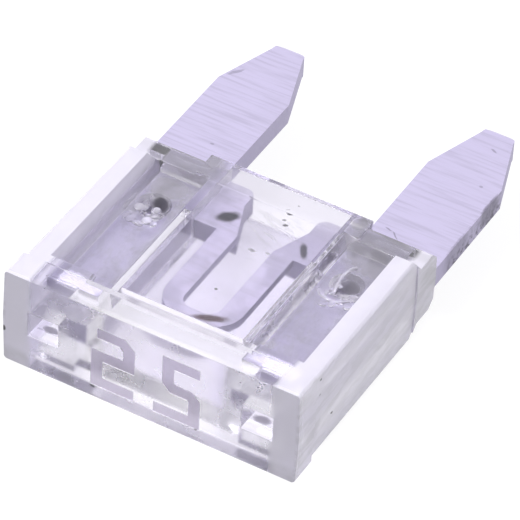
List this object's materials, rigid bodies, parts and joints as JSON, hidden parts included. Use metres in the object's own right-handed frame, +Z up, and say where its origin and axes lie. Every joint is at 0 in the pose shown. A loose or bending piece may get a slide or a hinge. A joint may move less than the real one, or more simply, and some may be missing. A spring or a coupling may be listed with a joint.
{
  "type": "mini blade fuse",
  "caption": "Clear mini automotive blade fuse: flat zinc blades joined by a thin U-shaped link inside a transparent moulded housing",
  "frame": {"origin": "centre of the bounding box in X and Y, at its lowest point", "axes": "+X across the width through both blades, +Y along the length towards the blade tips, +Z up through the thickness, lying on a broad face"},
  "size_m": [0.011, 0.0164, 0.0037],
  "materials": {
    "clear_plastic": "clear gloss, faint lavender cast",
    "zinc_alloy": "matt, fine streaks across the blades"
  },
  "bodies": {
    "root": {"housing": "clear_plastic", "fuse_element": "zinc_alloy"}
  },
  "joints": []
}
